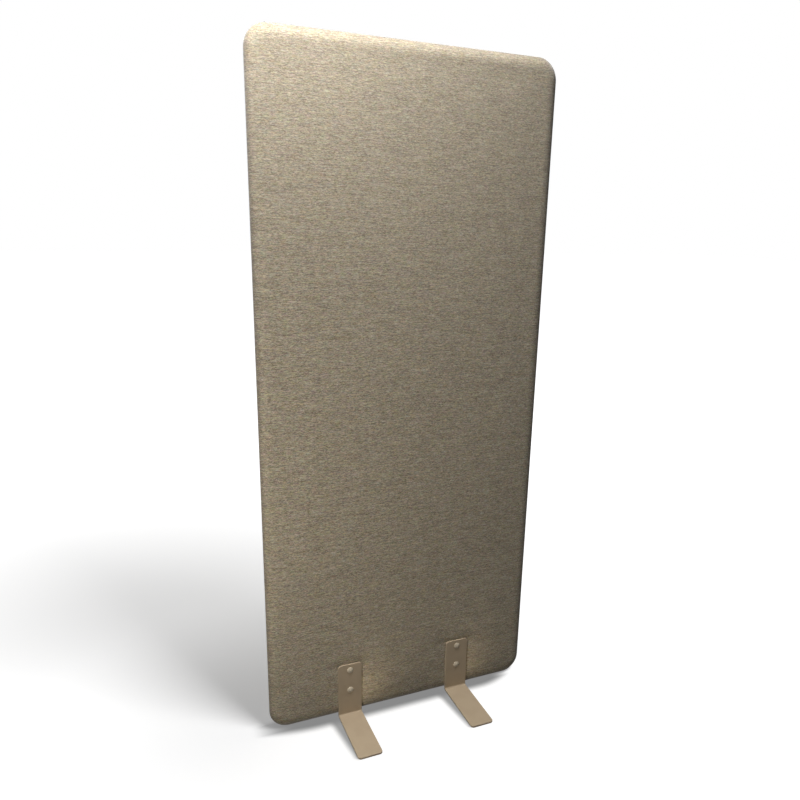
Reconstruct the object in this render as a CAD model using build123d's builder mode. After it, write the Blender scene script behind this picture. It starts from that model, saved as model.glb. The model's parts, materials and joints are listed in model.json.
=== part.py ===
"""Free-standing acoustic divider screen: a padded, fabric covered panel on four steel feet.

All sizes are in millimetres. The origin is on the floor under the middle of the panel, +X runs along
the panel, the front face looks towards -Y and +Z is up.
"""

from build123d import *
import math
import os

os.makedirs("parts", exist_ok=True)

# Panel, over its fabric
panel_width = 800
panel_height = 1800
panel_corner_radius = 55
floor_gap = 4
edge_roll = 34
crown_rise = 1.5
crown_inset = 120
crown_corner_radius = 55
roll_steps = 7

# Layers of the panel, from the middle outwards
frame_thickness = 30
wadding_thickness = 4
edge_wadding = 6
fabric_thickness = 1

# Timber frame
rail_width = 45
corner_block = 100
arris_radius = 13
core_fit = 0.3

# Dowels in the frame joints
dowel_diameter = 8
dowel_length = 40
dowel_fit = 0.1
dowel_spacing = 22

# Steel feet
foot_inset = 230
foot_width = 70
foot_plate = 5
foot_height = 168
foot_reach = 186
foot_bend_radius = 4
foot_corner_radius = 9
foot_edge_ease = 0.6
foot_press = 2
press_spread = 14
press_fit = 0.2

# Pads under the feet
pad_thickness = 1
pad_margin = 5

# Bolts through each pair of feet
bolt_diameter = 8
bolt_head_diameter = 18
bolt_head_height = 3.2
bolt_head_rim = 1.2
bolt_neck = 4
bolt_pitch = 65
bolt_edge_distance = 18
bolt_fit = 0.1

# Sleeve nuts that take the bolts from behind
sleeve_diameter = 10
sleeve_length = 26
sleeve_engagement = 14
sleeve_socket = 5
sleeve_socket_depth = 5
sleeve_fit = 0.25

# Timber blocks that the bolts pass through, and the screws that hold them on the bottom rail
foot_block_width = 110
foot_block_height = 130
block_screw_diameter = 4.5
block_screw_head = 9
block_screw_length = 70
block_screw_spacing = 60
block_screw_sink = 2

# Staples that close the cover along the bottom edge
staple_crown = 10
staple_leg = 14
staple_wire_width = 1.2
staple_wire_height = 0.7
staple_spacing = 50

# One overrun serves every cut and every blank
overrun = 5
quarter_turn = 90

# Places that follow from the sizes above
panel_half = frame_thickness / 2 + wadding_thickness + fabric_thickness
panel_middle = floor_gap + panel_height / 2
frame_inset = fabric_thickness + edge_wadding
frame_width = panel_width - 2 * frame_inset
frame_height = panel_height - 2 * frame_inset
frame_bottom = floor_gap + frame_inset
bottom_rail_top = frame_bottom + rail_width
foot_spacing = panel_width - 2 * foot_inset
foot_places = [-foot_spacing / 2, foot_spacing / 2]
foot_back = panel_half - foot_press
foot_face = foot_back + foot_plate
foot_tip = panel_half + foot_reach
foot_top = pad_thickness + foot_height
bolt_heights = [foot_top - bolt_edge_distance, foot_top - bolt_edge_distance - bolt_pitch]
bolt_places = [(x, z) for x in foot_places for z in bolt_heights]
rail_end = frame_width / 2 - corner_block
block_screw_places = [x + side * block_screw_spacing / 2 for x in foot_places for side in (-1, 1)]

# Staples keep clear of the screws: each stretch of the bottom rail between them has its own even row
staple_places = []
staple_stops = [-rail_end, *block_screw_places, rail_end]
for start, end in zip(staple_stops, staple_stops[1:]):
    staple_count = math.floor((end - start) / staple_spacing)
    first_staple = (start + end - staple_spacing * (staple_count - 1)) / 2
    staple_places += [first_staple + staple_spacing * i for i in range(staple_count)]

mid_plane = Plane(origin=(0, 0, panel_middle), x_dir=(1, 0, 0), z_dir=(0, -1, 0))


def write(piece, label):
    """Name a finished piece and write it as its own file."""
    piece.part.label = label
    export_step(piece.part, f"parts/{label}.step")


def form_sections(inset):
    """Outlines of the padded form from its mid plane out: depth, inset from the edge, corner radius.

    The edge rolls over on a quarter ellipse, and the face then swells a little more to its crown.
    """
    depth = panel_half - crown_rise - inset
    roll = edge_roll - inset
    sections = []
    for step in range(roll_steps + 1):
        angle = math.radians(quarter_turn * step / roll_steps)
        edge = inset + roll * (1 - math.cos(angle))
        sections.append((depth * math.sin(angle), edge, panel_corner_radius - edge))
    sections.append((panel_half - inset, crown_inset, crown_corner_radius))
    return sections


def front_form(inset):
    """Front half of the padded panel, drawn in by an inset, with the dents of its two feet."""
    with BuildPart() as form:
        for depth, edge, radius in form_sections(inset):
            with BuildSketch(mid_plane.offset(depth)):
                RectangleRounded(panel_width - 2 * edge, panel_height - 2 * edge, radius)
        loft(ruled=True)
        for x in foot_places:
            for depth, spread in ((foot_back - inset, press_fit), (panel_half + overrun, press_spread)):
                height = foot_top + spread
                with BuildSketch(Plane(origin=(x, -depth, 0), x_dir=(1, 0, 0), z_dir=(0, -1, 0))):
                    Rectangle(foot_width + 2 * spread, height, align=(Align.CENTER, Align.MIN))
            loft(ruled=True, mode=Mode.SUBTRACT)
    return form.part


def cut_bolt_holes(radius):
    """Bore the through holes of the foot bolts, front to back, in the piece being made."""
    for x, z in bolt_places:
        with Locations(Plane(origin=(x, 0, z), x_dir=(1, 0, 0), z_dir=(0, -1, 0))):
            Cylinder(radius, 2 * (panel_half + overrun), mode=Mode.SUBTRACT)


def cut_staple_legs():
    """Slit the piece being made where the legs of the bottom staples go through."""
    for x in staple_places:
        for side in (-1, 1):
            leg_x = x + side * (staple_crown - staple_wire_width) / 2
            with Locations((leg_x, 0, floor_gap)):
                Box(staple_wire_width, staple_wire_width, 2 * staple_leg, mode=Mode.SUBTRACT)


def cut_block_screws():
    """Bore and countersink the screws that run up through the bottom rail into the foot blocks."""
    for x in block_screw_places:
        with Locations((x, 0, frame_bottom + block_screw_sink)):
            Cylinder(block_screw_diameter / 2, block_screw_length, mode=Mode.SUBTRACT,
                     align=(Align.CENTER, Align.CENTER, Align.MIN))
            Cone(block_screw_head / 2, block_screw_diameter / 2,
                 (block_screw_head - block_screw_diameter) / 2, mode=Mode.SUBTRACT,
                 align=(Align.CENTER, Align.CENTER, Align.MIN))
            Cylinder(block_screw_head / 2, block_screw_sink + overrun, mode=Mode.SUBTRACT,
                     align=(Align.CENTER, Align.CENTER, Align.MAX))


# Dowels: upright ones join stiles to corner blocks, level ones join rails to blocks and stiles
dowel_offsets = [-dowel_spacing / 2, dowel_spacing / 2]
stile_middle = frame_width / 2 - rail_width / 2
upright_dowels = []
level_dowels = []
for side in (-1, 1):
    for offset in dowel_offsets:
        level_dowels.append((side * (frame_width / 2 - rail_width), panel_middle + offset))
        for end in (-1, 1):
            joint_height = panel_middle + end * (frame_height / 2 - corner_block)
            rail_height = panel_middle + end * (frame_height / 2 - rail_width / 2)
            upright_dowels.append((side * stile_middle + offset, joint_height))
            level_dowels.append((side * rail_end, rail_height + offset))


def place_dowels(radius, length, mode):
    """Put a round bar at every dowel's place, as a dowel or as its hole."""
    for x, z in upright_dowels:
        with Locations((x, 0, z)):
            Cylinder(radius, length, mode=mode)
    for x, z in level_dowels:
        with Locations((x, 0, z)):
            Cylinder(radius, length, rotation=(0, quarter_turn, 0), mode=mode)


def cut_dowel_holes():
    """Bore every dowel hole that crosses the piece being made."""
    place_dowels(dowel_diameter / 2 + dowel_fit, dowel_length + 2 * dowel_fit, Mode.SUBTRACT)


# Frame blank: the outline of the whole timber frame with its rounded arrises
with BuildPart() as frame_blank:
    with BuildSketch(mid_plane.offset(-frame_thickness / 2)):
        RectangleRounded(frame_width, frame_height, panel_corner_radius - frame_inset)
    extrude(amount=frame_thickness)
    fillet(frame_blank.faces().sort_by(Axis.Y)[0].edges(), arris_radius)
    fillet(frame_blank.faces().sort_by(Axis.Y)[-1].edges(), arris_radius)

# Stiles: the upright members between the corner blocks
for name, side in (("left", -1), ("right", 1)):
    with BuildPart() as stile:
        add(frame_blank.part)
        with Locations((side * stile_middle, 0, panel_middle)):
            Box(rail_width, frame_thickness + overrun, frame_height - 2 * corner_block,
                mode=Mode.INTERSECT)
        cut_dowel_holes()
    write(stile, f"stile_{name}")

# Top and bottom rails between the corner blocks
for name, end in (("top", 1), ("bottom", -1)):
    with BuildPart() as rail:
        add(frame_blank.part)
        with Locations((0, 0, panel_middle + end * (frame_height - rail_width) / 2)):
            Box(frame_width - 2 * corner_block, frame_thickness + overrun, rail_width,
                mode=Mode.INTERSECT)
        cut_dowel_holes()
        if name == "bottom":
            cut_block_screws()
            cut_staple_legs()
    write(rail, f"rail_{name}")

# Middle rail between the stiles
with BuildPart() as rail_middle:
    with Locations((0, 0, panel_middle)):
        Box(frame_width - 2 * rail_width, frame_thickness, rail_width)
    cut_dowel_holes()
write(rail_middle, "rail_middle")

# Corner blocks: five-sided plywood blocks that carry the rounded corners
block_outline = [
    (0, 0),
    (corner_block, 0),
    (corner_block, rail_width),
    (rail_width, corner_block),
    (0, corner_block),
]
for side_name, side in (("left", -1), ("right", 1)):
    for end_name, end in (("top", 1), ("bottom", -1)):
        corner_x = side * frame_width / 2
        corner_z = end * frame_height / 2
        points = [(corner_x - side * u, corner_z - end * v) for u, v in block_outline]
        with BuildPart() as corner:
            with BuildSketch(mid_plane):
                Polygon(*points, align=None)
            extrude(amount=frame_thickness / 2 + overrun, both=True)
            add(frame_blank.part, mode=Mode.INTERSECT)
            cut_dowel_holes()
        write(corner, f"corner_block_{end_name}_{side_name}")

# Foot blocks: stand on the bottom rail behind each pair of feet
for name, x in zip(("left", "right"), foot_places):
    with BuildPart() as foot_block:
        with Locations((x, 0, bottom_rail_top)):
            Box(foot_block_width, frame_thickness, foot_block_height,
                align=(Align.CENTER, Align.CENTER, Align.MIN))
        cut_bolt_holes(sleeve_diameter / 2 + sleeve_fit)
        cut_block_screws()
    write(foot_block, f"foot_block_{name}")

# Acoustic core: two slabs of fibre board that fill the frame above and below the middle rail
core_width = frame_width - 2 * rail_width - 2 * core_fit
core_height = frame_height / 2 - rail_width - rail_width / 2 - 2 * core_fit
core_middle = rail_width / 2 + core_fit + core_height / 2
core_corner = corner_block - rail_width - (2 - math.sqrt(2)) * core_fit
for name, end in (("upper", 1), ("lower", -1)):
    with BuildPart() as core:
        with Locations((0, 0, panel_middle + end * core_middle)):
            Box(core_width, frame_thickness - 2 * core_fit, core_height)
        far_edges = core.edges().filter_by(Axis.Y).group_by(Axis.Z)[-1 if end > 0 else 0]
        chamfer(far_edges, core_corner)
        if name == "lower":
            for x in foot_places:
                with Locations((x, 0, bottom_rail_top)):
                    Box(foot_block_width + 2 * core_fit, frame_thickness,
                        foot_block_height + core_fit, mode=Mode.SUBTRACT,
                        align=(Align.CENTER, Align.CENTER, Align.MIN))
    write(core, f"core_{name}")

# Wadding: soft sheets over the frame, front and rear, that meet round the edge
with BuildPart() as wadding_front:
    add(front_form(fabric_thickness))
    add(frame_blank.part, mode=Mode.SUBTRACT)
    cut_bolt_holes(sleeve_diameter / 2 + sleeve_fit)
    cut_staple_legs()
write(wadding_front, "wadding_front")

with BuildPart() as wadding_rear:
    mirror(wadding_front.part, about=Plane.XZ)
write(wadding_rear, "wadding_rear")

# Cover: two fabric shells sewn together round the middle of the edge
with BuildPart() as cover_front:
    add(front_form(0))
    add(front_form(fabric_thickness), mode=Mode.SUBTRACT)
    cut_bolt_holes(sleeve_diameter / 2 + sleeve_fit)
    cut_staple_legs()
write(cover_front, "cover_front")

with BuildPart() as cover_rear:
    mirror(cover_front.part, about=Plane.XZ)
write(cover_rear, "cover_rear")

# Feet: flat steel bars bent to an L, two in front and two behind
neck_hole = bolt_diameter + 2 * bolt_fit
for name, facing in (("front", -1), ("rear", 1)):
    for side_name, x in zip(("left", "right"), foot_places):
        with BuildPart() as foot:
            with BuildSketch(Plane.YZ.offset(x - foot_width / 2)):
                with BuildLine():
                    outside = FilletPolyline(
                        (facing * foot_back, foot_top),
                        (facing * foot_back, pad_thickness),
                        (facing * foot_tip, pad_thickness),
                        radius=foot_bend_radius + foot_plate,
                    )
                    inside = FilletPolyline(
                        (facing * foot_face, foot_top),
                        (facing * foot_face, pad_thickness + foot_plate),
                        (facing * foot_tip, pad_thickness + foot_plate),
                        radius=foot_bend_radius,
                    )
                    Line(outside @ 0, inside @ 0)
                    Line(outside @ 1, inside @ 1)
                make_face()
            extrude(amount=foot_width)
            top_corners = foot.edges().filter_by(Axis.Y).group_by(Axis.Z)[-1]
            fillet(top_corners, foot_corner_radius)
            tip_corners = foot.edges().filter_by(Axis.Z).group_by(Axis.Y)[0 if facing < 0 else -1]
            fillet(tip_corners, foot_corner_radius)
            fillet(foot.edges(), foot_edge_ease)
            for z in bolt_heights:
                with Locations((x, facing * foot_back, z)):
                    if name == "front":
                        Box(neck_hole, 2 * foot_plate + overrun, neck_hole, mode=Mode.SUBTRACT)
                    else:
                        Cylinder(sleeve_diameter / 2 + sleeve_fit, 2 * foot_plate + overrun,
                                 rotation=(quarter_turn, 0, 0), mode=Mode.SUBTRACT)
        write(foot, f"foot_{name}_{side_name}")

# Pads: thin strips under the flat of each foot
pad_start = foot_back + foot_plate + foot_bend_radius + pad_margin
pad_length = foot_tip - pad_margin - pad_start
for name, facing in (("front", -1), ("rear", 1)):
    for side_name, x in zip(("left", "right"), foot_places):
        with BuildPart() as pad:
            with BuildSketch():
                with Locations((x, facing * (pad_start + pad_length / 2))):
                    RectangleRounded(foot_width - 2 * pad_margin, pad_length,
                                     foot_corner_radius - pad_margin)
            extrude(amount=pad_thickness)
        write(pad, f"foot_pad_{name}_{side_name}")

# One domed head, made standing on its flat side
dome_height = bolt_head_height - bolt_head_rim
dome_radius = ((bolt_head_diameter / 2) ** 2 + dome_height**2) / (2 * dome_height)
with BuildPart() as head:
    Cylinder(bolt_head_diameter / 2, bolt_head_height,
             align=(Align.CENTER, Align.CENTER, Align.MIN))
    with Locations((0, 0, bolt_head_height - dome_radius)):
        Sphere(dome_radius, mode=Mode.INTERSECT)

# One bolt: plain domed head, square neck in the front foot, round shank up to the sleeve nut
sleeve_mouth = foot_face - sleeve_length
bolt_reach = foot_face + sleeve_mouth + sleeve_engagement
with BuildPart() as bolt:
    add(head.part)
    Box(bolt_diameter, bolt_diameter, bolt_neck, align=(Align.CENTER, Align.CENTER, Align.MAX))
    Cylinder(bolt_diameter / 2, bolt_reach, align=(Align.CENTER, Align.CENTER, Align.MAX))

with BuildPart() as foot_bolts:
    for x, z in bolt_places:
        with Locations(Plane(origin=(x, -foot_face, z), x_dir=(1, 0, 0), z_dir=(0, -1, 0))):
            add(bolt.part)
write(foot_bolts, "foot_bolts")

# One sleeve nut: domed head with a key socket, and a threaded sleeve through the rear foot
with BuildPart() as sleeve_nut:
    add(head.part)
    Cylinder(sleeve_diameter / 2, sleeve_length, align=(Align.CENTER, Align.CENTER, Align.MAX))
    with Locations((0, 0, -sleeve_length)):
        Cylinder(bolt_diameter / 2, sleeve_engagement + overrun, mode=Mode.SUBTRACT,
                 align=(Align.CENTER, Align.CENTER, Align.MIN))
    with BuildSketch(Plane.XY.offset(bolt_head_height)):
        RegularPolygon(sleeve_socket / 2, 6, major_radius=False)
    extrude(amount=-sleeve_socket_depth, mode=Mode.SUBTRACT)

with BuildPart() as sleeve_nuts:
    for x, z in bolt_places:
        with Locations(Plane(origin=(x, foot_face, z), x_dir=(1, 0, 0), z_dir=(0, 1, 0))):
            add(sleeve_nut.part)
write(sleeve_nuts, "sleeve_nuts")

# Dowels of the frame joints
with BuildPart() as frame_dowels:
    place_dowels(dowel_diameter / 2, dowel_length, Mode.ADD)
write(frame_dowels, "frame_dowels")

# Countersunk screws that hold the foot blocks on the bottom rail
with BuildPart() as block_screws:
    for x in block_screw_places:
        with Locations((x, 0, frame_bottom + block_screw_sink)):
            Cylinder(block_screw_diameter / 2, block_screw_length,
                     align=(Align.CENTER, Align.CENTER, Align.MIN))
            Cone(block_screw_head / 2, block_screw_diameter / 2,
                 (block_screw_head - block_screw_diameter) / 2,
                 align=(Align.CENTER, Align.CENTER, Align.MIN))
write(block_screws, "block_screws")

# Staples that close the cover under the bottom rail
with BuildPart() as cover_staples:
    for x in staple_places:
        with Locations((x, 0, floor_gap)):
            Box(staple_crown, staple_wire_width, staple_wire_height,
                align=(Align.CENTER, Align.CENTER, Align.MAX))
        for side in (-1, 1):
            leg_x = x + side * (staple_crown - staple_wire_width) / 2
            with Locations((leg_x, 0, floor_gap)):
                Box(staple_wire_width, staple_wire_width, staple_leg,
                    align=(Align.CENTER, Align.CENTER, Align.MIN))
write(cover_staples, "cover_staples")
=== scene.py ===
"""Looks of a free-standing acoustic divider screen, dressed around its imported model.

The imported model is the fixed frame. Lengths are metres in its axes: +X runs along the panel, the front
face looks towards -Y, +Z is up and the floor is at height 0.
"""

import json
import logging
import math
from dataclasses import dataclass
from enum import Enum

import bpy
import numpy as np
from bpy.types import Material, NodeSocket, Object
from mathutils import Matrix, Vector

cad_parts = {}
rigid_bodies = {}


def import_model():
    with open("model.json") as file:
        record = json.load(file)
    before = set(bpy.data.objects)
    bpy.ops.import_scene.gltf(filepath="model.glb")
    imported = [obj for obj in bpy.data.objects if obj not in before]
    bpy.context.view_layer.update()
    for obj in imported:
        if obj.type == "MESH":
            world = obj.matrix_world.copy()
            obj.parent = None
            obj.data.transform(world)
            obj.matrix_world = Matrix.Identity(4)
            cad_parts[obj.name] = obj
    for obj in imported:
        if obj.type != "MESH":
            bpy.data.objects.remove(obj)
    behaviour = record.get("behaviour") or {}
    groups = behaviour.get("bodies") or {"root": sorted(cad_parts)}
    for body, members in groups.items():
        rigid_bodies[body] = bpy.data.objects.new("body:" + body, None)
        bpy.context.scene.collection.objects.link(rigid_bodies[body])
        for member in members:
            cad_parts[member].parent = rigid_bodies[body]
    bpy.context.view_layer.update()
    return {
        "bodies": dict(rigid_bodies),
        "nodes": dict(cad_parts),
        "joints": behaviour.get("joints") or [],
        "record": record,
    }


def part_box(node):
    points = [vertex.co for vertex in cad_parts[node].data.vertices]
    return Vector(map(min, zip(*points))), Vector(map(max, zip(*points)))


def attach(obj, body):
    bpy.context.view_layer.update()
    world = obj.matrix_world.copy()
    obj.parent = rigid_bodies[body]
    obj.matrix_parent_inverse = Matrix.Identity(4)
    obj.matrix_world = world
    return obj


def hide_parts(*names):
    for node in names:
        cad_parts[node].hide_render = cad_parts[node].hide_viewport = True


Pair = tuple[float, float]
Triple = tuple[float, float, float]
Colour = tuple[float, float, float, float]
Colours = tuple[Colour, Colour]
Grid = np.ndarray

log = logging.getLogger("divider_screen")


class Face(Enum):
    """The two faces of the screen, by the sign of the Y axis that they look along."""

    FRONT = -1
    REAR = 1


class Reach(Enum):
    """What a studio light falls on."""

    SCREEN = "EXCLUDE"
    FLOOR = "INCLUDE"


class Grain(Enum):
    """The way that the grain of a board runs, as the factors that stretch its pattern on X, Y and Z."""

    LEVEL = (0.05, 1.0, 1.0)
    UPRIGHT = (1.0, 1.0, 0.05)


def display(*parts: float) -> Colour:
    """Turn a colour as a screen shows it, 0 to 255, into the linear colour that a shader takes.

    Args:
        parts: Its red, green and blue.

    Returns:
        The linear colour, opaque.
    """
    shown = np.array(parts) / 255
    linear = np.where(shown <= 0.04045, shown / 12.92, ((shown + 0.055) / 1.055) ** 2.4)
    return (*linear.tolist(), 1.0)


class Signal:
    """A number that varies over a surface: a node socket that takes part in Python expressions."""

    def __init__(self, bench: "Bench", socket: NodeSocket) -> None:
        """Keep the output socket that gives the number, and the bench whose tree it belongs to."""
        self.bench = bench
        self.socket = socket

    def math(self, operation: str, *operands: "Signal | float") -> "Signal":
        """Add one Math node, which works on the operands in the order of its sockets."""
        node = self.bench.node("ShaderNodeMath", dict(enumerate(operands)), {"operation": operation})
        return Signal(self.bench, node.outputs[0])

    def __add__(self, other: "Signal | float") -> "Signal":
        """Give self + other."""
        return self.math("ADD", self, other)

    __radd__ = __add__

    def __sub__(self, other: "Signal | float") -> "Signal":
        """Give self - other."""
        return self.math("SUBTRACT", self, other)

    def __rsub__(self, other: float) -> "Signal":
        """Give other - self."""
        return self.math("SUBTRACT", other, self)

    def __mul__(self, other: "Signal | float") -> "Signal":
        """Give self * other."""
        return self.math("MULTIPLY", self, other)

    def __truediv__(self, other: "Signal | float") -> "Signal":
        """Give self / other."""
        return self.math("DIVIDE", self, other)

    def whole(self) -> "Signal":
        """Give the largest whole number that isn't above self."""
        return self.math("FLOOR", self)

    def sine(self) -> "Signal":
        """Give the sine of self, in radians."""
        return self.math("SINE", self)

    def size(self) -> "Signal":
        """Give self without its sign."""
        return self.math("ABSOLUTE", self)

    def root(self) -> "Signal":
        """Give the square root of self."""
        return self.math("SQRT", self)

    def at_least(self, low: float) -> "Signal":
        """Give the larger of self and a number."""
        return self.math("MAXIMUM", self, low)

    def eased(self, low: float, high: float) -> "Signal":
        """Rise smoothly from 0 at low to 1 at high.

        Args:
            low: Where the rise starts.
            high: Where it ends.

        Returns:
            The eased signal, from 0 to 1.
        """
        sockets = {"Value": self, "From Min": low, "From Max": high}
        node = self.bench.node("ShaderNodeMapRange", sockets, {"interpolation_type": "SMOOTHSTEP"})
        return Signal(self.bench, node.outputs[0])


class Bench:
    """The node tree of a material or of the world, and the few ways in which nodes are added to it."""

    def __init__(self, name: str, store: str = "materials") -> None:
        """Start an empty node tree.

        Args:
            name: The name of the material or world.
            store: The part of Blender's data that it goes to.
        """
        self.owner = getattr(bpy.data, store).new(name)
        self.owner.use_nodes = True
        self.tree = self.owner.node_tree
        self.tree.nodes.clear()

    def node(self, kind: str, sockets: dict[str | int, object] | None = None,
             settings: dict[str, object] | None = None) -> bpy.types.Node:
        """Add any node.

        Args:
            kind: The node's type.
            sockets: What its inputs take, by name or number: a value, a signal, an output socket, or
                a node, whose first output it is.
            settings: Its settings, which are set first.

        Returns:
            The new node.
        """
        node = self.tree.nodes.new(kind)
        for name, value in (settings or {}).items():
            setattr(node, name, value)
        for name, value in (sockets or {}).items():
            if isinstance(value, bpy.types.Node):
                value = value.outputs[0]
            elif isinstance(value, Signal):
                value = value.socket
            if isinstance(value, NodeSocket):
                self.tree.links.new(value, node.inputs[name])
            else:
                node.inputs[name].default_value = value
        return node

    def place(self) -> NodeSocket:
        """Give the point of the surface in the object's own axes."""
        return self.node("ShaderNodeTexCoord").outputs["Object"]

    def parts(self, point: NodeSocket | bpy.types.Node) -> list[Signal]:
        """Take a point apart into its three numbers."""
        outputs = self.node("ShaderNodeSeparateXYZ", {0: point}).outputs
        return [Signal(self, output) for output in outputs]

    def point(self, x: Signal | float, y: Signal | float, z: Signal | float) -> NodeSocket:
        """Join three numbers into a point."""
        return self.node("ShaderNodeCombineXYZ", {0: x, 1: y, 2: z}).outputs[0]

    def stretched(self, point: NodeSocket, factors: Triple) -> NodeSocket:
        """Multiply a point's three parts by three factors."""
        sockets = {0: point, 1: factors}
        return self.node("ShaderNodeVectorMath", sockets, {"operation": "MULTIPLY"}).outputs[0]

    def noise(self, point: NodeSocket, scale: float = 1.0, detail: float = 2.0,
              roughness: float = 0.5) -> Signal:
        """Give smooth noise around one half: scale waves to a unit, and detail finer layers."""
        sockets = {"Vector": point, "Scale": scale, "Detail": detail, "Roughness": roughness}
        return Signal(self, self.node("ShaderNodeTexNoise", sockets).outputs[0])

    def ramp(self, signal: Signal, *stops: tuple[float, Colour]) -> NodeSocket:
        """Turn a number into a colour by a ramp.

        Args:
            signal: The number.
            stops: Places and colours, two or more, from left to right.

        Returns:
            The colour.
        """
        node = self.node("ShaderNodeValToRGB", {0: signal})
        elements = node.color_ramp.elements
        for place, _ in stops[2:]:
            elements.new(place)
        for element, (place, colour) in zip(elements, stops):
            element.position = place
            element.color = colour
        return node.outputs[0]

    def mixed(self, factor: Signal | float, first: object, second: object,
              blend: str = "MIX") -> NodeSocket:
        """Mix two colours or their sockets, where the factor is the share of the second."""
        settings = {"data_type": "RGBA", "blend_type": blend}
        return self.node("ShaderNodeMix", {0: factor, 6: first, 7: second}, settings).outputs[2]

    def bump(self, height: Signal, depth: float, strength: float = 1.0) -> NodeSocket:
        """Turn a height into a bent normal, where a height of 1 stands for the depth."""
        sockets = {"Strength": strength, "Distance": depth, "Height": height}
        return self.node("ShaderNodeBump", sockets).outputs[0]

    def finish(self, sockets: dict[str, object]) -> Material:
        """Close the material with a Principled shader.

        Args:
            sockets: Values or links of the shader's inputs, by name.

        Returns:
            The material.
        """
        shader = self.node("ShaderNodeBsdfPrincipled", sockets)
        self.node("ShaderNodeOutputMaterial", {"Surface": shader})
        return self.owner


@dataclass(frozen=True)
class Streaks:
    """Light and dark stretches along the weft yarns, in which every yarn has its own order."""

    length: float
    step: float
    seed: float
    layers: int
    roughness: float
    contrast: float


@dataclass(frozen=True)
class Tint:
    """Two opposite tints, as factors, in small patches with some larger clouds of them."""

    seed: float
    cloud: float
    first: Colour
    second: Colour


@dataclass(frozen=True)
class SlubWeave:
    """Greige melange upholstery cloth: a fine plain weave with long level slubs in its weft.

    Round the panel's rolled edge the cloth is painted darker, a painted shade where the surface turns
    towards the seam, and its pattern is plainer towards the top.
    """

    dark: Colour = display(102, 91, 76)
    body: Colour = display(146, 134, 112)
    light: Colour = display(190, 179, 151)
    moss_and_mauve: Tint = Tint(21.0, 0.15, (0.91, 1.045, 1.0, 1.0), (1.09, 0.955, 1.0, 1.0))
    straw_and_slate: Tint = Tint(60.0, 0.2, (1.0, 1.0, 0.82, 1.0), (1.0, 1.0, 1.16, 1.0))
    patch: Pair = (0.016, 0.003)
    cloud: Pair = (0.07, 0.02)
    yarns: Streaks = Streaks(0.0058, 7.31, 0.0, 3, 0.6, 3.1)
    slubs: Streaks = Streaks(0.012, 5.37, 9.0, 2, 0.6, 1.0)
    streaks: Streaks = Streaks(0.05, 3.71, 33.0, 2, 0.5, 0.7)
    weft_pitch: float = 0.0011
    warp_pitch: float = 0.0009
    warp_length: float = 0.004
    stagger: float = 0.618
    # Painted shade on the rolled edge: how much darker it is painted, and the depths from the middle plane
    # over which the shade fades out towards the face.
    painted_edge_darkness: float = 0.15
    edge_shade_depths: Pair = (0.005, 0.016)
    plain_share: float = 0.3
    plain_heights: Pair = (0.8, 1.75)
    relief: float = 0.0003

    def dyed(self, bench: Bench, colour: object, axes: list[Signal], plain: Signal) -> NodeSocket:
        """Tint the yarns.

        Args:
            bench: The material's tree.
            colour: The colour of the yarns without the tints.
            axes: Lengths along the weft and the warp.
            plain: The strength of the tints.

        Returns:
            The tinted colour.
        """
        for tint in (self.moss_and_mauve, self.straw_and_slate):
            patch, cloud = (
                bench.noise(bench.point(axes[0] / size[0], axes[1] / size[1], seed),
                            detail=3, roughness=roughness)
                for size, seed, roughness in ((self.patch, tint.seed, 0.7), (self.cloud, -tint.seed, 0.6))
            )
            both = patch * (1 - tint.cloud) + cloud * tint.cloud
            for share, dye in ((both, tint.first), (1 - both, tint.second)):
                colour = bench.mixed(share.eased(0.5, 0.6) * plain, colour, dye, "MULTIPLY")
        return colour

    def material(self) -> Material:
        """Weave the cloth on its UV map, where U runs along the weft and V along the warp.

        Returns:
            The cloth's material.
        """
        bench = Bench("cover_fabric")
        weft, warp, _ = bench.parts(bench.node("ShaderNodeUVMap", settings={"uv_map": Sheet.UV_NAME}))
        _, depth, height = bench.parts(bench.place())
        # Share of painted shade on the rolled edge: 1 near the middle plane, where the roll turns towards
        # the seam, fading to 0 towards the face.
        edge_shade_share = 1 - depth.size().eased(*self.edge_shade_depths)
        plain = 1 - height.eased(*self.plain_heights) * self.plain_share
        row = (warp / self.weft_pitch).whole()
        column = (weft / self.warp_pitch).whole()
        weft_yarn, slub, streak = (
            bench.noise(bench.point(weft / kind.length + row * self.stagger, row * kind.step, kind.seed),
                        detail=kind.layers, roughness=kind.roughness)
            for kind in (self.yarns, self.slubs, self.streaks)
        )
        spun = bench.point(column * 5.17, warp / self.warp_length + column * self.stagger, 3.0)
        warp_yarn = 0.35 + bench.noise(spun) * 0.3
        drift = bench.noise(bench.point(weft / 0.06, warp / 0.022, 5.0), detail=3)
        across = (weft * (math.pi / self.warp_pitch)).sine()
        along = (warp * (math.pi / self.weft_pitch)).sine()
        on_top = (across * along).eased(-0.35, 0.35)
        yarn = on_top * weft_yarn + (1 - on_top) * warp_yarn
        mottle = ((yarn - 0.5) * self.yarns.contrast + (slub - 0.5) * self.slubs.contrast
                  + (streak - 0.5) * self.streaks.contrast + (drift - 0.5) * 0.15)
        # The rolled edge is painted darker here, a painted shade.
        tone = 0.5 + mottle * plain - edge_shade_share * self.painted_edge_darkness
        grey = bench.ramp(tone, (0.2, self.dark), (0.5, self.body), (0.8, self.light))
        relief = on_top * along.size() + (1 - on_top) * across.size() * 0.8 + (slub - 0.5) * 0.6
        return bench.finish({
            "Base Color": self.dyed(bench, grey, [weft, warp], plain),
            "Roughness": 0.94,
            "Specular IOR Level": 0.25,
            "Sheen Weight": 0.35,
            "Sheen Roughness": 0.5,
            "Normal": bench.bump(relief, self.relief, 0.3),
        })


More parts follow.
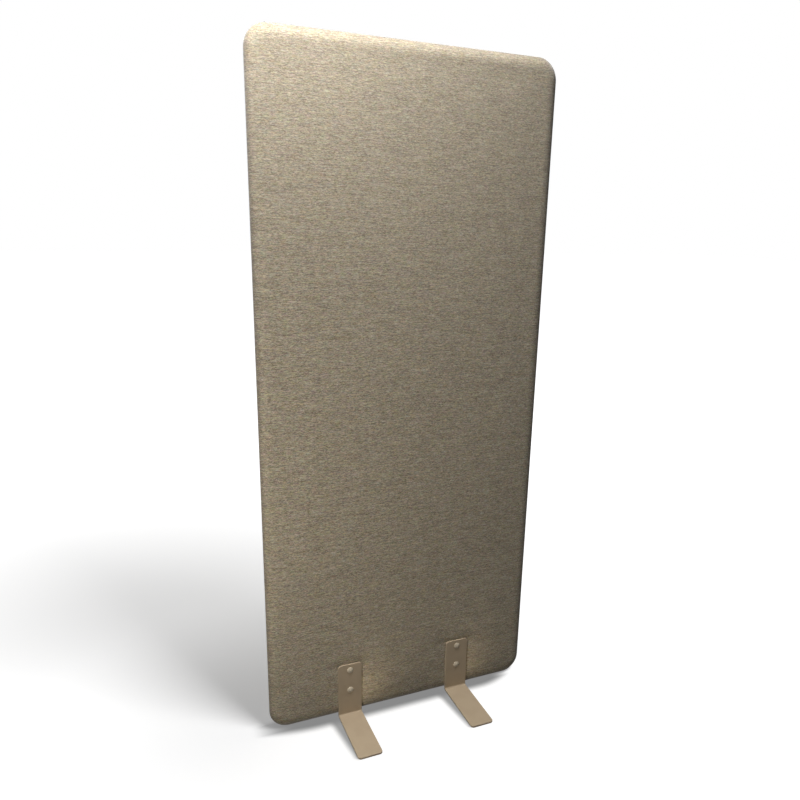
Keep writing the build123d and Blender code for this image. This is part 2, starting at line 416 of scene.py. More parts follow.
@dataclass(frozen=True)
class PowderCoat:
    """Beige fine-texture powder coat on steel, with the faint orange peel that it cures with."""

    name: str = "powder_coat"
    colour: Colour = display(168, 151, 126)
    deep: Colour = display(160, 143, 119)
    roughness: float = 0.45
    peel: float = 0.00006

    def material(self) -> Material:
        """Spray the coat.

        Returns:
            The coat's material.
        """
        bench = Bench(self.name)
        place = bench.place()
        cloud = bench.noise(place, 24.0, 3)
        speck = bench.noise(place, 1500.0, 2, 0.7)
        peel = bench.noise(place, 620.0, 3, 0.6)
        colour = bench.mixed(cloud.eased(0.35, 0.65) * 0.5 + speck.eased(0.4, 0.7) * 0.3,
                             self.colour, self.deep)
        return bench.finish({
            "Base Color": colour,
            "Roughness": self.roughness + (speck - 0.5) * 0.2,
            "Specular IOR Level": 0.16,
            "Normal": bench.bump(peel, self.peel, 0.7),
        })


@dataclass(frozen=True)
class Board:
    """Bare wood: pale and dark bands that run along the grain, and fine pores."""

    name: str
    grain: Grain
    pale: Colour
    dark: Colour
    rings: float = 70.0

    def material(self) -> Material:
        """Saw the board.

        Returns:
            The wood's material.
        """
        bench = Bench(self.name)
        along = bench.stretched(bench.place(), self.grain.value)
        bands = bench.noise(along, self.rings, 3, 0.55)
        pores = bench.noise(along, self.rings * 14, 2)
        colour = bench.ramp(bands * 0.8 + pores * 0.2, (0.36, self.dark), (0.62, self.pale))
        return bench.finish({
            "Base Color": colour,
            "Roughness": 0.72 + (pores - 0.5) * 0.3,
            "Normal": bench.bump(pores, 0.0003, 0.4),
        })


@dataclass(frozen=True)
class Fleece:
    """Matted polyester fibres: a cloudy pale sheet with a fine tangle in its relief."""

    name: str
    pale: Colour
    dark: Colour
    tangle: float = 900.0

    def material(self) -> Material:
        """Lay the fibres.

        Returns:
            The fleece's material.
        """
        bench = Bench(self.name)
        place = bench.place()
        cloud = bench.noise(place, 40.0, 4, 0.6)
        fibre = bench.noise(bench.stretched(place, (1.0, 1.0, 0.35)), self.tangle, 3, 0.7)
        return bench.finish({
            "Base Color": bench.ramp(cloud * 0.6 + fibre * 0.4, (0.35, self.dark), (0.65, self.pale)),
            "Roughness": 0.95,
            "Normal": bench.bump(fibre, 0.0006, 0.6),
        })


@dataclass(frozen=True)
class ZincPlate:
    """Bright zinc on steel wire and screws, with small cloudy crystals."""

    name: str = "zinc"
    bright: Colour = display(214, 214, 210)
    dull: Colour = display(176, 178, 176)

    def material(self) -> Material:
        """Plate the steel.

        Returns:
            The zinc's material.
        """
        bench = Bench(self.name)
        crystal = bench.noise(bench.place(), 900.0, 3)
        return bench.finish({
            "Base Color": bench.ramp(crystal, (0.35, self.dull), (0.65, self.bright)),
            "Metallic": 1.0,
            "Roughness": 0.3 + (crystal - 0.5) * 0.3,
        })


@dataclass(frozen=True)
class PadRubber:
    """Black anti-slip rubber with a dull, finely ribbed skin."""

    name: str = "pad_rubber"
    colour: Colour = display(34, 34, 34)
    worn: Colour = display(52, 51, 49)

    def material(self) -> Material:
        """Mould the rubber.

        Returns:
            The rubber's material.
        """
        bench = Bench(self.name)
        place = bench.place()
        scuff = bench.noise(place, 300.0, 3)
        ribs = bench.noise(bench.stretched(place, (1.0, 0.1, 1.0)), 1800.0, 1)
        return bench.finish({
            "Base Color": bench.ramp(scuff, (0.4, self.colour), (0.7, self.worn)),
            "Roughness": 0.8,
            "Normal": bench.bump(ribs, 0.0002, 0.6),
        })


def linked(name: str, data: bpy.types.ID) -> Object:
    """Make an object and link it to the scene.

    Args:
        name: The object's name.
        data: Its mesh, light or camera.

    Returns:
        The object.
    """
    made = bpy.data.objects.new(name, data)
    bpy.context.scene.collection.objects.link(made)
    return made


def stations(stops: list[float], steps: list[int]) -> Grid:
    """Divide a line: each stretch between two stops is cut evenly into its own number of steps."""
    stretches = [np.linspace(a, b, n, endpoint=False) for a, b, n in zip(stops, stops[1:], steps)]
    return np.concatenate([*stretches, stops[-1:]])


def smooth(share: Grid) -> Grid:
    """Ease a share from 0 to 1: three times its square less twice its cube, held at both ends."""
    share = np.clip(share, 0, 1)
    return share * share * (3 - 2 * share)


@dataclass(frozen=True)
class Profile:
    """The edge of the panel in section: rows from the face out to the seam.

    Each row has an inset from the panel's outline and a depth from its middle plane.
    """

    inset: Grid
    depth: Grid


@dataclass(frozen=True)
class PanelForm:
    """The padded form of the panel: its rolled edge, its crown, and the dents of its feet."""

    width: float
    height: float
    gap: float
    half: float
    feet: tuple[float, ...]
    foot_width: float
    foot_top: float
    corner: float = 0.055
    roll: float = 0.034
    pull_reach: float = 0.08
    crown_rise: float = 0.0015
    crown_inset: float = 0.12
    press: float = 0.0021
    left_reach: float = 0.013
    right_reach: float = 0.008
    top_reach: float = 0.013
    pit: float = 0.0017
    pit_reach: float = 0.013
    creases: tuple[Pair, ...] = ((0.151, 0.05), (0.112, -0.03), (0.084, 0.02))
    crease_depth: float = 0.00025
    crease_half: float = 0.0024
    crease_reach: float = 0.03
    uneven: float = 0.00012
    seam_radius: float = 0.0014
    seam_gap: float = 0.0002
    seam_lip: float = 0.004
    frame_inset: float = 0.007
    arris: float = 0.013
    wadding: float = 0.005
    roll_rows: int = 12
    seam_rows: int = 4

    @classmethod
    def from_frame(cls) -> "PanelForm":
        """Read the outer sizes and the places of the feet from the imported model."""
        low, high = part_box("cover_front")
        feet = [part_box(f"foot_front_{side}") for side in ("left", "right")]
        return cls(
            width=high[0] - low[0],
            height=high[2] - low[2],
            gap=low[2],
            half=-low[1],
            feet=tuple((foot_low[0] + foot_high[0]) / 2 for foot_low, foot_high in feet),
            foot_width=feet[0][1][0] - feet[0][0][0],
            foot_top=feet[0][1][2],
        )

    @property
    def middle(self) -> float:
        """Height of the middle of the panel."""
        return self.gap + self.height / 2

    def lines(self) -> tuple[Grid, Grid]:
        """Give the places of the mesh lines, which stand close together at the feet.

        Returns:
            Places along the panel, and heights above its middle.
        """
        edge, end = (size / 2 - self.roll for size in (self.width, self.height))
        turn = self.corner - self.roll
        inner, outer = (self.feet[1] + side * self.foot_width for side in (-1, 1))
        dented = self.foot_top + self.foot_width - self.middle
        across = [-edge, turn - edge, -outer, -inner, inner, outer, edge - turn, edge]
        up = [-end, turn - end, dented, end - turn, end]
        return stations(across, [7, 11, 46, 18, 46, 11, 7]), stations(up, [7, 60, 132, 7])

    def plan(self) -> tuple[Grid, Grid, Grid, Grid]:
        """Lay the mesh lines of the face out on the rounded rectangle inside the roll.

        The lines start as a plain grid. Near each corner they are pulled in so that the outermost ones
        follow the corner's arc, at angles up to 45 degrees from either side, and the pull fades
        smoothly over a short reach.

        Returns:
            X and Z of the points, and X and Z of the outward directions, which hold on the border.
        """
        radius = self.corner - self.roll
        lines = []
        for places in self.lines():
            edge = places[-1]
            bend = edge - radius
            angle = math.pi / 4 * np.clip((np.abs(places) - bend) / radius, 0, 1)
            along = np.where(angle > 0, bend + radius * np.sin(angle), np.abs(places)) - np.abs(places)
            sign = np.sign(places)
            fade = smooth((np.abs(places) - edge + self.pull_reach) / self.pull_reach)
            lines.append((places, sign, sign * along, radius * (1 - np.cos(angle)), angle, fade))
        (x, x_sign, x_along, x_in, x_angle, x_fade), (z, z_sign, z_along, z_in, z_angle, z_fade) = lines
        tuck = radius * (1 - math.cos(math.pi / 4))
        fade_x, fade_z = np.meshgrid(x_fade, z_fade)
        sign_x, sign_z = np.meshgrid(x_sign, z_sign)
        plan_x, plan_z = np.meshgrid(x, z)
        corner = fade_x * fade_z * tuck
        plan_x = plan_x + fade_z * x_along[None, :] - fade_x * sign_x * z_in[:, None] + corner * sign_x
        plan_z = plan_z + fade_x * z_along[:, None] - fade_z * sign_z * x_in[None, :] + corner * sign_z
        out_x = np.zeros_like(plan_x)
        out_z = np.zeros_like(plan_z)
        for row in (0, -1):
            out_x[row] = x_sign * np.sin(x_angle)
            out_z[row] = z_sign[row] * np.cos(x_angle)
        for column in (0, -1):
            out_x[:, column] = x_sign[column] * np.cos(z_angle)
            out_z[:, column] = z_sign * np.sin(z_angle)
        return plan_x, plan_z + self.middle, out_x, out_z

    def crown(self, x: Grid, z: Grid) -> Grid:
        """Depth of the face over a plan, before the feet press it in.

        It starts at the end of the roll and rises smoothly by crown_rise up to crown_inset from the
        outline, and level waves much wider than they are high make the padding a little uneven.

        Args:
            x: X of the points.
            z: Z of the points.

        Returns:
            The depth from the middle plane.
        """
        inset = np.minimum(self.width / 2 - np.abs(x), self.height / 2 - np.abs(z - self.middle))
        share = (inset - self.roll) / (self.crown_inset - self.roll)
        base = self.half - self.crown_rise * (1 - smooth(share))
        waves = np.sin(9.1 * x + 4.3 * z + 0.4) + np.sin(-6.2 * x + 11.7 * z + 2.0)
        waves += 0.8 * np.sin(17.0 * x - 3.1 * z + 4.1)
        return base + self.uneven * waves * smooth(share)

    def off_flange(self, x: Grid, z: Grid, foot: float) -> tuple[Grid, Grid]:
        """Give the distances of points to either side of a foot's flange, and above it."""
        return np.maximum(np.abs(x - foot) - self.foot_width / 2, 0), np.maximum(z - self.foot_top, 0)

    def dented(self, x: Grid, z: Grid) -> Grid:
        """Depth of the face with the feet pressed into the padding.

        Under a flange the cloth lies at the flange's back. Away from it the dent fades as the
        exponential of the distance. The cloth is pulled in deeper beside the flange's upper left corner,
        in a round pit with a bell-shaped section, and fine creases run off level from the bolts.

        Args:
            x: X of the points.
            z: Z of the points.

        Returns:
            The depth from the middle plane.
        """
        depth = self.crown(x, z)
        pressed = self.half - self.press
        face = np.clip(depth / pressed, 0, 1) ** 8
        for foot in self.feet:
            aside, above = self.off_flange(x, z, foot)
            reach = np.where(x > foot, self.right_reach, self.left_reach)
            away = np.hypot(aside / reach, above / self.top_reach)
            crease = np.zeros_like(x)
            for height, slope in self.creases:
                line = (z - height - slope * aside) / self.crease_half
                crease += np.exp(-(line**2)) * np.exp(-aside / self.crease_reach) * (aside > 0)
            hollow = np.exp(-away) * np.maximum(depth - pressed, 0)
            corner = np.hypot(x - foot + self.foot_width / 2, z - self.foot_top) / self.pit_reach
            pit = self.pit * np.exp(-(corner**2))
            depth = depth - hollow - face * (pit + self.crease_depth * crease)
        return depth

    def edge(self, inset: float) -> Profile:
        """Section of the cover's edge, set in by an inset.

        The edge rolls over on a quarter ellipse. Near the middle plane it turns in on a small quarter
        circle, and a straight lip goes inwards beside the seam.

        Args:
            inset: How far inside the cover's outer side the surface lies.

        Returns:
            The rows from the face out to the seam, without the face's own border.
        """
        top = self.half - self.crown_rise - inset
        seam = self.seam_gap + inset
        turn = self.seam_radius - inset / 2
        last = math.asin((seam + turn) / top)
        angle = np.linspace(math.pi / 2, last, self.roll_rows + 1)[1:]
        bend = np.linspace(0, math.pi / 2, self.seam_rows + 1)[1:]
        start = (self.roll - inset) * (1 - math.cos(last))
        rows = [inset + (self.roll - inset) * (1 - np.cos(angle)),
                inset + start + turn * (1 - np.cos(bend)),
                [start + turn + self.seam_lip]]
        depths = [top * np.sin(angle), seam + turn * (1 - np.sin(bend)), [seam]]
        return Profile(np.concatenate(rows), np.concatenate(depths))

    def frame_edge(self) -> Profile:
        """Section of the timber frame's edge, with as many rows as the cover's.

        Returns:
            The rows round the arris of the frame, down to the seam.
        """
        angle = np.linspace(math.pi / 2, 0, self.roll_rows + self.seam_rows)
        inset = np.append(self.frame_inset + self.arris * (1 - np.cos(angle)), self.frame_inset)
        core = self.half - self.wadding
        depth = np.append(core - self.arris * (1 - np.sin(angle)), self.seam_gap)
        return Profile(inset, depth)


def grid_quads(index: Grid) -> Grid:
    """List the quads of a grid of point numbers, wound so that they look towards -Y."""
    corners = (index[:-1, :-1], index[:-1, 1:], index[1:, 1:], index[1:, :-1])
    return np.stack([corner.ravel() for corner in corners], axis=1)


@dataclass(frozen=True)
class Settling:
    """Cloth simulation of the cover's face.

    The cloth is held round its border and under the feet. The wadding that the feet squeeze out from
    under them pushes it outwards beside them, and holds it softly in its place elsewhere.
    """

    form: PanelForm
    frames: int = 20
    pressure: float = 36.0
    hold: float = 0.16
    left_reach: float = 0.02
    right_reach: float = 0.032
    top_reach: float = 0.02
    left_share: float = 0.45
    low_share: float = 0.5
    low_reach: float = 0.12
    cap: float = 0.0045
    smoothings: int = 5

    def lines(self) -> tuple[Grid, Grid]:
        """Give the places of the cloth's own mesh lines.

        Returns:
            Places along the panel, and heights above its middle.
        """
        form = self.form
        edge, end = (size / 2 - form.roll for size in (form.width, form.height))
        inner, outer = (form.feet[1] + side * form.foot_width for side in (-1, 1))
        dented = form.foot_top + form.foot_width - form.middle
        return (stations([-edge, -outer, -inner, inner, outer, edge], [8, 28, 14, 28, 8]),
                stations([-end, dented, end], [36, 60]))

    def push(self, x: Grid, z: Grid) -> Grid:
        """Share of the pressure at each point.

        It fades from each flange as the exponential of the distance. It leans to the right, where it
        also reaches farther, and it is weakest at the panel's lower edge.

        Args:
            x: X of the points.
            z: Z of the points.

        Returns:
            Shares from 0 to 1.
        """
        share = np.zeros_like(x)
        for foot in self.form.feet:
            aside, above = self.form.off_flange(x, z, foot)
            lean = smooth((x - foot) / self.form.foot_width + 0.5)
            reach = self.left_reach + (self.right_reach - self.left_reach) * lean
            fade = np.exp(-np.hypot(aside / reach, above / self.top_reach))
            fade *= self.left_share + (1 - self.left_share) * lean
            fade *= self.low_share + (1 - self.low_share) * smooth(z / self.low_reach)
            share = np.maximum(share, fade)
        return share

    def lay(self, x: Grid, z: Grid, depth: Grid) -> Object:
        """Lay the cloth out, with one group of points for how it is held and one for the pressure.

        Args:
            x: X of the points.
            z: Z of the points.
            depth: Their depth from the panel's middle plane.

        Returns:
            The cloth.
        """
        points = np.stack([x.ravel(), -depth.ravel(), z.ravel()], axis=1)
        mesh = bpy.data.meshes.new("settling")
        mesh.from_pydata(points.tolist(), [], grid_quads(np.arange(x.size).reshape(x.shape)).tolist())
        cloth = linked("settling", mesh)
        held = np.full(x.shape, self.hold)
        held[[0, -1]] = held[:, [0, -1]] = 1
        for foot in self.form.feet:
            aside, above = self.form.off_flange(x, z, foot)
            held[(aside < 1e-5) & (above < 1e-5)] = 1
        for name, weights in (("held", held), ("pushed", self.push(x, z))):
            group = cloth.vertex_groups.new(name=name)
            for number, weight in enumerate(weights.ravel().tolist()):
                group.add([number], weight, "REPLACE")
        return cloth

    def simulate(self, cloth: Object) -> Grid:
        """Run the simulation.

        Args:
            cloth: The cloth as it is laid out.

        Returns:
            Its points at the last frame.
        """
        modifier = cloth.modifiers.new("cloth", "CLOTH")
        settings = {
            "quality": 6,
            "mass": 0.3,
            "tension_stiffness": 15,
            "compression_stiffness": 15,
            "shear_stiffness": 5,
            "bending_stiffness": 0.5,
            "air_damping": 4,
            "vertex_group_mass": "held",
            "pin_stiffness": 1,
            "use_pressure": True,
            "uniform_pressure_force": self.pressure,
            "vertex_group_pressure": "pushed",
        }
        for name, value in settings.items():
            setattr(modifier.settings, name, value)
        modifier.settings.effector_weights.gravity = 0
        modifier.collision_settings.use_collision = False
        modifier.point_cache.frame_end = self.frames
        for frame in range(1, self.frames + 1):
            bpy.context.scene.frame_set(frame)
        settled = cloth.evaluated_get(bpy.context.evaluated_depsgraph_get())
        points = np.empty(len(settled.data.vertices) * 3, dtype=np.float32)
        settled.data.vertices.foreach_get("co", points)
        return points.reshape(-1, 3).astype(float)

    def run(self) -> Grid:
        """Let the cloth settle, and carry its move over to the mesh lines of the panel.

        The move is read off the cloth's lines in proportion between them. Each smoothing then takes
        half of every point and a quarter of both its neighbours, along the panel and then up it.

        Returns:
            How far the face moves out at each point of the panel's plan.
        """
        across, up = self.lines()
        x, z = np.meshgrid(across, up + self.form.middle)
        depth = self.form.dented(x, z)
        cloth = self.lay(x, z, depth)
        move = -self.simulate(cloth)[:, 1].reshape(x.shape) - depth
        bpy.data.objects.remove(cloth)
        bpy.context.scene.frame_set(1)
        wide, tall = (
            np.stack([np.interp(places, own, unit) for unit in np.eye(len(own))], axis=1)
            for places, own in zip(self.form.lines(), (across, up))
        )
        move = np.clip(tall @ move @ wide.T, -self.cap, self.cap)
        for _ in range(self.smoothings):
            for _ in range(2):
                padded = np.pad(move, ((1, 1), (0, 0)), mode="edge")
                move = (0.25 * (padded[:-2] + padded[2:]) + 0.5 * move).T
        log.info("the cover settles by %.2f to %.2f mm", move.min() * 1000, move.max() * 1000)
        return move


class Sheet:
    """One half of the panel's cover or wadding as a closed mesh between two surfaces.

    The two surfaces share one layout: a grid over the face, and rings round its border that follow a
    section of the edge.
    """

    UV_NAME = "cloth"

    def __init__(self, form: PanelForm, face: Face) -> None:
        """Lay out the mesh lines.

        Args:
            form: The panel's form.
            face: The face that this half belongs to.
        """
        self.form = form
        self.face = face
        self.x, self.z, out_x, out_z = form.plan()
        self.plan = np.stack([self.x.ravel(), self.z.ravel()], axis=1)
        index = self.index = np.arange(self.x.size).reshape(self.x.shape)
        self.border = np.concatenate([index[0, :-1], index[:-1, -1], index[-1, :0:-1], index[:0:-1, 0]])
        self.out = np.stack([out_x.ravel(), out_z.ravel()], axis=1)[self.border]

    def ringed(self, reach: Grid) -> Grid:
        """Give the plan of the grid's points and of rings, each at its own reach outside the border."""
        rings = self.plan[self.border] + reach[:, None, None] * self.out
        return np.concatenate([self.plan, rings.reshape(-1, 2)])

    def surface(self, face_depth: Grid, edge: Profile) -> Grid:
        """Work out one of the two surfaces.

        Args:
            face_depth: Depth of the grid's points.
            edge: The section that the rings follow.

        Returns:
            Points, one row each.
        """
        x, z = self.ringed(self.form.roll - edge.inset).T
        depth = np.concatenate([face_depth.ravel(), np.repeat(edge.depth, len(self.border))])
        return np.stack([x, depth, z], axis=1)

    def cloth_map(self, edge: Profile) -> Grid:
        """Unroll a surface: the grid keeps its plan, and the rings go on by the edge's length.

        Args:
            edge: The section that the rings follow.

        Returns:
            U along the weft and V along the warp of every point, in metres.
        """
        inset = np.append(self.form.roll, edge.inset)
        depth = np.append(self.form.half - self.form.crown_rise, edge.depth)
        return self.ringed(np.cumsum(np.hypot(np.diff(inset), np.diff(depth))))

    def faces(self, ring_count: int) -> Grid:
        """List the quads of one surface, wound so that the front half looks towards -Y.

        Args:
            ring_count: How many rings follow the border.

        Returns:
            Point numbers, four to a row.
        """
        rings = self.index.size + np.arange(ring_count * len(self.border)).reshape(ring_count, -1)
        rings = np.vstack([self.border, rings])
        following = np.roll(rings, -1, axis=1)
        bands = np.stack([rings[:-1], rings[1:], following[1:], following[:-1]], axis=-1)
        return np.concatenate([grid_quads(self.index), bands.reshape(-1, 4)])

    def piece(self, name: str, outer: tuple[Grid, Profile], inner: tuple[Grid, Profile],
              material: Material) -> Object:
        """Close two surfaces along the seam and make the object.

        Args:
            name: The object's name.
            outer: The outer surface's depth over the grid, and its section of the edge.
            inner: The same of the inner surface.
            material: What it is made of.

        Returns:
            The object, shaded smooth.
        """
        side = self.faces(len(outer[1].inset))
        points = np.concatenate([self.surface(*outer), self.surface(*inner)])
        count = len(points) // 2
        last = np.arange(count - len(self.border), count)
        after = np.roll(last, -1)
        rim = np.stack([last, last + count, after + count, after], axis=1)
        quads = np.concatenate([side, side[:, ::-1] + count, rim])
        points[:, 1] *= self.face.value
        quads = quads[:, ::-self.face.value]
        mesh = bpy.data.meshes.new(name)
        mesh.from_pydata(points.tolist(), [], quads.tolist(), shade_flat=False)
        uv = np.tile(self.cloth_map(outer[1]), (2, 1))[quads.ravel()]
        mesh.uv_layers.new(name=self.UV_NAME).uv.foreach_set("vector", uv.astype(np.float32).ravel())
        mesh.materials.append(material)
        mesh.validate()
        log.info("%s: %d points, %d quads", name, len(points), len(quads))
        return linked(name, mesh)


@dataclass
class Upholstery:
    """Wadding and cover of the panel, front and rear."""

    form: PanelForm
    weave: SlubWeave
    fleece: Fleece
    cloth: float = 0.0009
    ease: float = 0.0001

    def build(self) -> None:
        """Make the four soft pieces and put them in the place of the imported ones."""
        weave = self.weave.material()
        fleece = self.fleece.material()
        move = Settling(self.form).run()
        under = self.cloth + self.ease
        edge, lining, pad_edge = (self.form.edge(inset) for inset in (0, self.cloth, under))
        for face in Face:
            sheet = Sheet(self.form, face)
            depth = self.form.dented(sheet.x, sheet.z) + move
            core = np.full_like(depth, self.form.half - self.form.wadding)
            word = face.name.lower()
            cover = sheet.piece(f"screen_cover_{word}", (depth, edge), (depth - self.cloth, lining), weave)
            pad = sheet.piece(f"screen_wadding_{word}", (depth - under, pad_edge),
                              (core, self.form.frame_edge()), fleece)
            for piece, node, slot in ((cover, f"cover_{word}", "cover_fabric"),
                                      (pad, f"wadding_{word}", "wadding")):
                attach(piece, "root")
                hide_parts(node)
            flat = np.ptp(sheet.cloth_map(edge), axis=0)


@dataclass
class Hardware:
    """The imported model's own rigid pieces, which keep their shapes and get their finishes."""

    spruce: Colours = (display(226, 203, 160), display(196, 160, 112))
    birch: Colours = (display(219, 192, 148), display(187, 152, 106))
    beech: Colours = (display(222, 186, 142), display(190, 150, 108))
    core: Colours = (display(238, 236, 228), display(214, 211, 200))
    paint: Colours = (display(203, 191, 167), display(193, 181, 157))
    paint_roughness: float = 0.38

    def finishes(self) -> dict[str, Material]:
        """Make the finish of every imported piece.

        Returns:
            The finishes, by how the pieces' names start.
        """
        upright = Board("spruce_upright", Grain.UPRIGHT, *self.spruce).material()
        made = {
            "rail": Board("spruce_level", Grain.LEVEL, *self.spruce),
            "corner_block": Board("birch_plywood", Grain.LEVEL, *self.birch, 110.0),
            "core": Fleece("core_board", *self.core),
            "frame_dowels": Board("beech_dowel", Grain.LEVEL, *self.beech, 150.0),
            "block_screws": ZincPlate(),
            "cover_staples": ZincPlate("staple_zinc"),
            "foot_pad": PadRubber(),
            "foot_bolts": PowderCoat("bolt_paint", *self.paint, self.paint_roughness),
            "sleeve_nuts": PowderCoat("nut_paint", *self.paint, self.paint_roughness),
            "foot": PowderCoat(),
        }
        materials = {start: finish.material() for start, finish in made.items()}
        return {"stile": upright, "foot_block": upright, **materials}

    def dress(self, nodes: dict[str, Object]) -> None:
        """Put each finish on its pieces. The soft pieces, which are made anew, have none here.

        Args:
            nodes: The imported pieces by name.
        """
        finishes = self.finishes()
        for name, node in nodes.items():
            start = next((word for word in finishes if name.startswith(word)), None)
            if start is None:
                continue
            node.data.materials.clear()
            node.data.materials.append(finishes[start])
            log.info("%s: %s", name, finishes[start].name)


@dataclass(frozen=True)
class Softbox:
    """A square studio light."""

    name: str
    place: Triple
    target: Triple
    size: float
    power: float
    reach: Reach = Reach.SCREEN
    colour: Triple = (1.0, 1.0, 1.0)
    spread: float = math.pi
    spared: tuple[str, ...] = ()

    def hang(self, floor: Object) -> None:
        """Hang the light, turn it to its target and say whether it falls on the floor or the screen.

        Args:
            floor: The floor, which a light of the screen leaves out and a light of the floor keeps to.
        """
        lamp = bpy.data.lights.new(self.name, "AREA")
        lamp.shape = "SQUARE"
        lamp.size = self.size
        lamp.energy = self.power
        lamp.color = self.colour
        lamp.spread = self.spread
        holder = linked(self.name, lamp)
        holder.location = self.place
        aim = Vector(self.target) - Vector(self.place)
        holder.rotation_euler = aim.to_track_quat("-Z", "Y").to_euler()
        receivers = bpy.data.collections.new(f"{self.name}_receivers")
        for item in (floor, *(bpy.data.objects[name] for name in self.spared)):
            receivers.objects.link(item)
        for item in receivers.collection_objects:
            item.light_linking.link_state = self.reach.value
        holder.light_linking.receiver_collection = receivers
        holder.visible_camera = False
        log.info("%s: %.3g W", self.name, self.power)


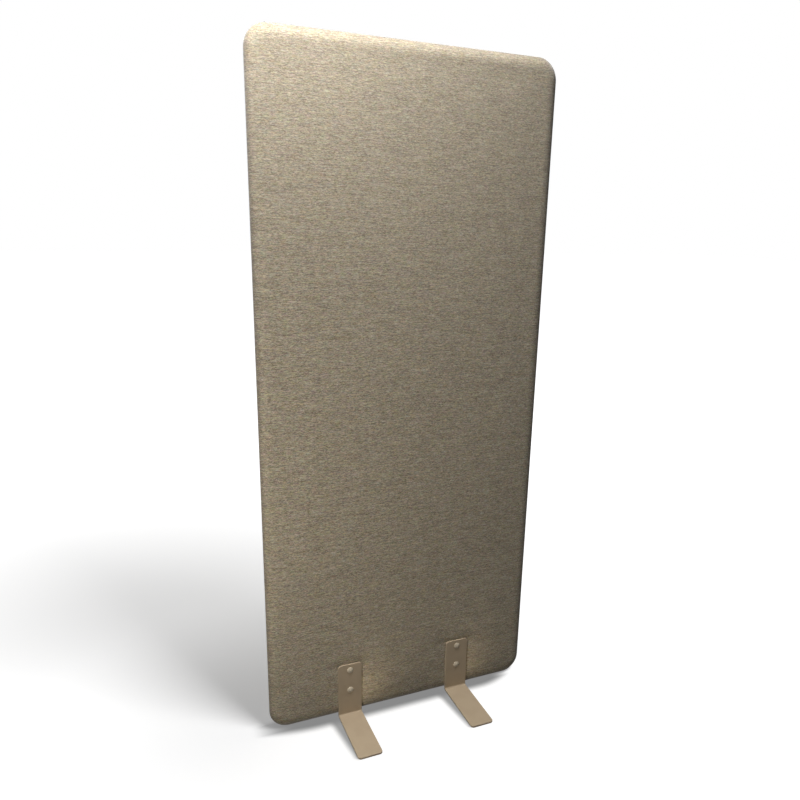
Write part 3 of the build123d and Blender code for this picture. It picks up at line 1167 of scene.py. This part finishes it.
@dataclass
class Studio:
    """Floor, world, lights and camera."""

    feet: tuple[float, ...]
    lights: tuple[Softbox, ...] = (
        Softbox("key", (-0.53, -0.46, 2.42), (-0.3, 0.0, 1.5), 0.4, 23.5, colour=(0.98, 1.0, 1.08)),
        Softbox("overhead", (-0.3, -0.27, 3.4), (0.0, 0.0, 0.9), 0.9, 55.0),
        Softbox("side", (-0.9, -0.7, 0.65), (-0.2, 0.0, 0.5), 0.6, 5.2, colour=(1.02, 0.985, 0.95)),
        Softbox("back", (0.9, 2.4, 2.6), (0.0, 0.0, 0.9), 1.8, 70.0),
        Softbox("floor_light", (1.3, -2.0, 4.2), (0.0, 0.0, 0.7), 1.8, 200.0, Reach.FLOOR),
    )
    glows: tuple[tuple[str, float], ...] = (("left", 0.02), ("right", 0.012))
    glow_colour: Triple = (1.0, 0.84, 0.62)
    sky: float = 0.055
    floor_bounce: Colour = (0.08, 0.08, 0.08, 1.0)
    floor_colour: Colour = (0.8, 0.8, 0.8, 1.0)
    panel_half: Pair = (0.4, 0.02)
    # Floor glow by distance from the panel: weakest close round it, where it paints a broad shade.
    near_glow: float = 0.37
    middle_glow: float = 0.26
    middle_reach: Pair = (0.05, 0.75)
    far_glow: float = 0.4
    far_reach: Pair = (0.8, 3.0)
    # Painted shade on the floor close round the panel and left of each foot, and its grey.
    shade_middle: float = 0.25
    shade_loss: Pair = (1.0, 2.8)
    shade_reach: Pair = (0.006, 0.042)
    foot_half: float = 0.035
    foot_tip: Pair = (0.19, 0.21)
    foot_shade: float = 0.89
    band_start: Pair = (-0.034, -0.03)
    band_end: Pair = (0.02, 0.045)
    band_taper: float = 0.14
    shade: Colour = (0.25, 0.25, 0.25, 1.0)
    floor_size: float = 60.0
    camera_place: Triple = (-0.7059, -1.7079, 1.3897)
    camera_yaw: float = 0.4077
    camera_pitch: float = 0.271
    camera_roll: float = 0.0229
    camera_lens: float = 31.8
    camera_shift: Pair = (-0.0217, 0.0244)

    def build(self) -> None:
        """Set up the studio."""
        floor = self.lay_floor()
        self.light_world()
        for light in (*self.lights, *self.thrown_back()):
            light.hang(floor)
        self.set_camera()
        bpy.context.scene.view_settings.view_transform = "Standard"

    @staticmethod
    def seen(bench: Bench) -> Signal:
        """Find out whether the background is looked at, straight or in a reflection.

        Args:
            bench: The tree that asks.

        Returns:
            1 where it is, and 0 elsewhere.
        """
        path = bench.node("ShaderNodeLightPath")
        camera, glossy, through = (Signal(bench, path.outputs[f"Is {kind} Ray"])
                                   for kind in ("Camera", "Glossy", "Transmission"))
        return camera + glossy + through

    def thrown_back(self) -> list[Softbox]:
        """Give the warm light that the flat of each front foot throws back onto the cloth to its right."""
        return [
            Softbox(f"glow_{side}", (foot + 0.015, -0.12, 0.035), (foot + 0.075, -0.02, 0.128), 0.04,
                    power, colour=self.glow_colour, spread=1.75,
                    spared=(f"foot_front_{side}", "foot_bolts"))
            for foot, (side, power) in zip(self.feet, self.glows)
        ]

    def contact_shade(self, x: Signal, y: Signal) -> Signal:
        """Give how deep the painted shade is that the floor shows close round the screen.

        Under the panel the painted shade reaches a few centimetres forwards and backwards, and less
        towards the panel's ends, where its reach falls as the square of the distance along the panel.
        Left of each foot a painted band of shade narrows towards the foot's tip.

        Args:
            x: X of the point.
            y: Y of the point.

        Returns:
            The depth of the shade, from 0 to 1.
        """
        ahead = y.size()
        right = (x - self.shade_middle).at_least(0.0)
        left = (-self.shade_middle - x).at_least(0.0)
        off = ((ahead - self.panel_half[1]).at_least(0.0) + right * right * self.shade_loss[1]
               + left * left * self.shade_loss[0])
        clear = off.eased(*self.shade_reach)
        for foot in self.feet:
            beside = (foot - self.foot_half) - x
            tapered = beside + ahead * self.band_taper
            band = (1 - tapered.eased(*self.band_end)) * beside.eased(*self.band_start)
            clear = clear * (1 - band * (1 - ahead.eased(*self.foot_tip)) * self.foot_shade)
        return 1 - clear

    def lay_floor(self) -> Object:
        """Lay a plain white floor that keeps the screen's shadow.

        The floor's own light, seen only by the camera and in reflections, lifts it to white where no
        shadow falls on it. It is weakest close round the screen and grows with the distance, which paints
        a broad shade round the screen, and the painted contact shade is mixed in over it.

        Returns:
            The floor.
        """
        bench = Bench("floor")
        seen = self.seen(bench)
        x, y, _ = bench.parts(bench.place())
        aside, ahead = ((axis.size() - half).at_least(0.0) for axis, half in zip((x, y), self.panel_half))
        off = (aside * aside + ahead * ahead).root()
        glow = (self.near_glow + off.eased(*self.middle_reach) * self.middle_glow
                + off.eased(*self.far_reach) * self.far_glow)
        plain, diffuse = (bench.node("ShaderNodeBsdfDiffuse", {"Color": colour})
                          for colour in (self.floor_bounce, self.floor_colour))
        light, shade = (bench.node("ShaderNodeEmission", {"Color": colour})
                        for colour in (bench.point(glow, glow, glow), self.shade))
        lifted = bench.node("ShaderNodeAddShader", {0: diffuse, 1: light})
        shaded = bench.node("ShaderNodeMixShader", {0: self.contact_shade(x, y), 1: lifted, 2: shade})
        both = bench.node("ShaderNodeMixShader", {0: seen, 1: plain, 2: shaded})
        bench.node("ShaderNodeOutputMaterial", {"Surface": both})
        half = self.floor_size / 2
        mesh = bpy.data.meshes.new("floor")
        corners = [(-half, -half, 0), (half, -half, 0), (half, half, 0), (-half, half, 0)]
        mesh.from_pydata(corners, [], [(0, 1, 2, 3)])
        mesh.materials.append(bench.owner)
        floor = linked("floor", mesh)
        return floor

    def light_world(self) -> None:
        """Light everything a little from all round, and show plain white behind it."""
        bench = Bench("studio", "worlds")
        sockets = {"Color": (1.0, 1.0, 1.0, 1.0), "Strength": self.seen(bench).at_least(self.sky)}
        back = bench.node("ShaderNodeBackground", sockets)
        bench.node("ShaderNodeOutputWorld", {"Surface": back})
        bpy.context.scene.world = bench.owner

    def set_camera(self) -> None:
        """Put the camera at the photograph's viewpoint, turned by yaw, then pitch, then roll."""
        data = bpy.data.cameras.new("camera")
        data.sensor_width = 36.0
        data.lens = self.camera_lens
        data.shift_x, data.shift_y = self.camera_shift
        data.clip_end = 100.0
        camera = linked("camera", data)
        turn = (Matrix.Rotation(-self.camera_yaw, 4, "Z")
                @ Matrix.Rotation(math.pi / 2 - self.camera_pitch, 4, "X")
                @ Matrix.Rotation(self.camera_roll, 4, "Z"))
        camera.matrix_world = Matrix.Translation(self.camera_place) @ turn
        bpy.context.scene.camera = camera


def main() -> None:
    """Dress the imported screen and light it."""
    logging.basicConfig(level=logging.INFO, format="%(message)s")
    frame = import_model()
    fleece = Fleece("wadding", display(247, 245, 240), display(226, 223, 214), 700.0)
    form = PanelForm.from_frame()
    Upholstery(form, SlubWeave(), fleece).build()
    Hardware().dress(frame["nodes"])
    Studio(form.feet).build()


if __name__ == "__main__":
    main()
